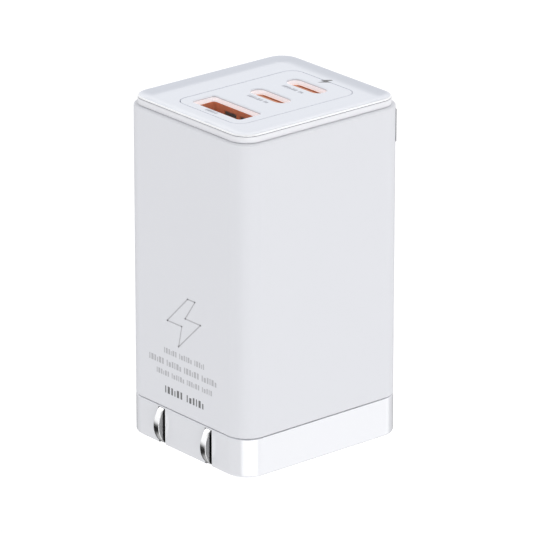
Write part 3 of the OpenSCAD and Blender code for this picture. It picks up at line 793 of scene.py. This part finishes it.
# top cover with its shallow dish
cover = {
    "width": 30.6, "depth": 34.6, "corner": 3.5, "foot": 60.2, "ledge": 60.1, "high": 61.6,
    "rimRound": 0.2, "rimFlat": 0.12, "slope": 2.6, "slopeSteps": 12, "dish": 0.5,
    "footInset": 0.45, "skirtInset": 1.15, "skirtLow": 56.9, "skirtThick": 1.2, "plate": 1.6,
    "seamAt": 61.24, "seamWide": 0.14, "seamDeep": 0.12,
    # the wall, seam and rim colours on the next two lines are painted light, painted shade and a painted
    # highlight
    "wallPaintedLight": (0.85, 0.85, 0.875), "wallRough": 0.6, "seamPaintedShade": (0.30, 0.30, 0.33),
    "rimPaintedHighlight": (0.99, 0.99, 1.0), "paintedBandDeep": 0.25,
}
panel = {
    "width": 16.9, "depth": 26.4, "corner": 2.3, "y": 0.4, "thick": 1.05,
    "gap": 0.16, "ledge": 1.0, "edge": 0.03, "portRound": 0.28,
    # the edge colour on the next line is painted shade on the rounded edges of the openings
    "edgePaintedShade": (0.50, 0.50, 0.53), "edgeShadeDeep": 0.26,
    # the glow on the next line is painted light on the walls of the openings
    "glow": (1.0, 0.91, 0.885), "glowPower": 0.40, "glowDeep": 0.12,
}
ports = {"wideY": -8.4, "narrowY": (1.3, 9.4), "wide": (12.6, 4.9), "wideCorner": 0.6, "narrow": (8.9, 2.8)}
deckLevel = cover["high"] - cover["dish"]


def paintCoverBands(p):
    # painted light, painted shade and a painted highlight, one above the other on the outer wall: a dull wall
    # painted lighter, a seam painted dark and a rim painted bright
    outline = {"HalfX": p["width"] / 2, "HalfY": p["depth"] / 2, "Corner": p["corner"],
               "Thick": p["paintedBandDeep"]}
    seamTop = p["seamAt"] + p["seamWide"]
    bands = [
        (p["ledge"] - 0.1, p["seamAt"], p["wallPaintedLight"]),
        (p["seamAt"], seamTop, p["seamPaintedShade"]),
        (seamTop, p["high"] + 0.2, p["rimPaintedHighlight"]),
    ]
    for low, high, tint in bands:
        tintWhere("cover_plastic", wallMask, {**outline, "Low": low, "High": high}, tint)
    sizes = {**outline, "Low": p["ledge"] - 0.1, "High": seamTop}
    roughWhere("cover_plastic", wallMask, sizes, p["wallRough"])


def paintOpeningGlowAndShade(p):
    # painted light and painted shade: a faint glow painted on the walls of the openings, under a rounded edge
    # painted greyer
    inside = {"Half": ports["wide"][0] / 2 + 0.7}
    edge = {**inside, "Low": deckLevel - p["edgeShadeDeep"], "High": deckLevel}
    tintWhere("panel_plastic", mouthMask, edge, p["edgePaintedShade"])
    wall = {**inside, "Low": deckLevel - 1.1, "High": deckLevel - p["glowDeep"]}
    addPaintedGlow("panel_plastic", mouthMask, wall, p["glow"], p["glowPower"])


def buildCover(p):
    shape = bmesh.new()
    roundedPrism(shape, p["width"], p["depth"], p["corner"], p["foot"], p["high"])
    for level in (p["seamAt"], p["seamAt"] + p["seamWide"]):
        everything = shape.verts[:] + shape.edges[:] + shape.faces[:]
        bmesh.ops.bisect_plane(shape, geom=everything, plane_co=(0, 0, level * mm), plane_no=(0, 0, 1))
    middle = (p["seamAt"] + p["seamWide"] / 2) * mm
    band = [f for f in shape.faces if abs(f.calc_center_median().z - middle) < 1e-6]
    bmesh.ops.inset_region(shape, faces=band, thickness=0, depth=-p["seamDeep"] * mm, use_even_offset=True)
    top = roundRim(shape, True, p["rimRound"], 8)
    top = insetCap(shape, top, p["rimFlat"])
    steps = p["slopeSteps"]
    fall = [p["dish"] * math.sin(math.pi / 2 * n / steps) for n in range(steps + 1)]
    for n in range(steps):
        top = insetCap(shape, top, p["slope"] / steps, fall[n + 1] - fall[n])
    foot = capFace(shape, False)
    foot = insetCap(shape, foot, p["footInset"])
    foot = pushCap(shape, foot, p["ledge"])
    foot = insetCap(shape, foot, p["skirtInset"] - p["footInset"])
    foot = pushCap(shape, foot, p["skirtLow"])
    foot = insetCap(shape, foot, p["skirtThick"])
    pushCap(shape, foot, deckLevel - p["plate"])
    cutter = bmesh.new()
    gap = 2 * panel["gap"]
    roundedPrism(cutter, panel["width"] + gap, panel["depth"] + gap, panel["corner"] + panel["gap"],
                 deckLevel - panel["thick"], p["high"] + 1, (0, panel["y"]))
    shape = cutAway(shape, cutter)
    cutter = bmesh.new()
    roundedPrism(cutter, panel["width"] - 2 * panel["ledge"], panel["depth"] - 2 * panel["ledge"],
                 panel["corner"] - panel["ledge"], p["skirtLow"], p["high"] + 1, (0, panel["y"]))
    shape = cutAway(shape, cutter)
    return finishShape("topCover", shape, "cover_plastic", "charger", sharp=32, replaced=["top_cover"])


def buildPanel(p):
    shape = bmesh.new()
    low = deckLevel - p["thick"]
    roundedPrism(shape, p["width"], p["depth"], p["corner"], low, deckLevel, (0, p["y"]))
    roundRim(shape, True, p["edge"], 2)
    cutter = bmesh.new()
    high = deckLevel + 1
    roundedPrism(cutter, *ports["wide"], ports["wideCorner"], low - 1, high, (0, ports["wideY"]), 8)
    endRadius = ports["narrow"][1] / 2 - 0.01    # full half circles, short of touching
    for y in ports["narrowY"]:
        roundedPrism(cutter, *ports["narrow"], endRadius, low - 1, high, (0, y))
    shape = cutAway(shape, cutter)
    bmesh.ops.recalc_face_normals(shape, faces=shape.faces)
    inX, inY = p["width"] / 2 - 0.5, p["depth"] / 2 - 0.5    # leaves out the panel's own rim
    edges = openEdges(shape, deckLevel, lambda q: abs(q.x) < inX and abs(q.y - p["y"]) < inY)
    bmesh.ops.bevel(shape, geom=edges, offset=p["portRound"] * mm, offset_type="OFFSET", segments=5,
                    profile=0.5, affect="EDGES", material=-1)
    return finishShape("portPanel", shape, "panel_plastic", "charger", sharp=40, replaced=["port_panel"])


paintCoverBands(cover)
paintOpeningGlowAndShade(panel)
buildCover(cover)
buildPanel(panel)

# printed marks
marks = {
    "thick": 0.012,
    "boltTop": 28.95, "boltFoot": 19.5, "boltWide": 9.0, "boltLine": 0.24,
    "rows": [  # height of the row's foot, its height, its half length, the dash and the gap
        (17.3, 1.0, 5.4, 0.34, 0.26),
        (15.05, 1.1, 9.5, 0.42, 0.28),
        (13.1, 0.95, 7.5, 0.34, 0.26),
    ],
    "darkRow": (9.95, 1.3, 5.2, 0.42, 0.42),
    "labels": [  # the same for the dashes beside each port, with y for height
        (-12.05, 0.75, 1.4, 0.42, 0.22),
        (-1.85, 0.75, 2.6, 0.42, 0.22),
        (6.05, 0.75, 2.8, 0.42, 0.22),
    ],
    "deckBolt": (0.15, 13.5, 2.2, 2.9),  # place in x and y, width and length
}
boltShape = [(0.12, 1.0), (-0.5, 0.42), (-0.06, 0.42), (-0.16, 0.0), (0.5, 0.6), (0.04, 0.6), (0.34, 1.0)]


def inkBar(shape, middle, length, height, turn=0.0):
    # a flat bar in x and z about its middle, turned from level
    bar = bmesh.ops.create_grid(shape, x_segments=1, y_segments=1, size=0.5)["verts"]
    bmesh.ops.scale(shape, verts=bar, vec=(length * mm, height * mm, 1))
    bmesh.ops.rotate(shape, verts=bar, cent=(0, 0, 0), matrix=Matrix.Rotation(math.pi / 2, 3, "X"))
    bmesh.ops.rotate(shape, verts=bar, cent=(0, 0, 0), matrix=Matrix.Rotation(-turn, 3, "Y"))
    bmesh.ops.translate(shape, verts=bar, vec=(middle[0] * mm, 0, middle[1] * mm))


def inkOutline(shape, corners, line):
    # a figure drawn as bars from corner to corner, half a line longer at both ends
    for n, corner in enumerate(corners):
        start, end = Vector(corner), Vector(corners[(n + 1) % len(corners)])
        along = end - start
        inkBar(shape, (start + end) / 2, along.length + line, line, math.atan2(along.y, along.x))


def inkDashes(shape, row):
    # lengths that vary by a fixed rule, so that the row reads as fine print without being any
    foot, tall, half, dash, gap = row
    x, n = -half, 0
    while x < half - dash / 2:
        width = min(dash * (0.65 + 0.35 * ((n * 5) % 3)), half - x)
        height = tall * (0.78 if (n * 7) % 4 == 1 else 1.0)
        inkBar(shape, (x + width / 2, foot + height / 2), width, height)
        x += width + gap * (3.0 if n % 6 == 5 else 1.0)
        n += 1


def finishInk(name, shape, look, level, onDeck):
    # the flat ink given its thickness, then set on the face with the prongs or laid on the cover
    thicken(shape, (0, -marks["thick"] * mm, 0))
    if onDeck:
        laid = Matrix.Rotation(-math.pi / 2, 3, "X")
        bmesh.ops.rotate(shape, verts=shape.verts, cent=(0, 0, 0), matrix=laid)
        bmesh.ops.translate(shape, verts=shape.verts, vec=(0, 0, level * mm))
    else:
        bmesh.ops.translate(shape, verts=shape.verts, vec=(0, -level * mm, 0))
    finishShape(name, shape, look, "charger")


def buildFacePrint(p):
    wall = housing["depth"] / 2
    shape = bmesh.new()
    tall = p["boltTop"] - p["boltFoot"]
    inkOutline(shape, [(x * p["boltWide"], p["boltFoot"] + z * tall) for x, z in boltShape], p["boltLine"])
    for row in p["rows"]:
        inkDashes(shape, row)
    finishInk("facePrint", shape, "grey_ink", wall, False)
    shape = bmesh.new()
    inkDashes(shape, p["darkRow"])
    finishInk("facePrintDark", shape, "dark_ink", wall, False)


def buildDeckMarks(p):
    shape = bmesh.new()
    for row in p["labels"]:
        inkDashes(shape, row)
    finishInk("portLabels", shape, "pale_ink", deckLevel, True)
    shape = bmesh.new()
    x, y, wide, tall = p["deckBolt"]
    corners = [shape.verts.new(Vector((x + u * wide, 0, y + (v - 0.5) * tall)) * mm) for u, v in boltShape]
    shape.faces.new(corners)
    finishInk("deckMark", shape, "dark_ink", deckLevel, True)


buildFacePrint(marks)
buildDeckMarks(marks)

# last lines
print("scene ready")
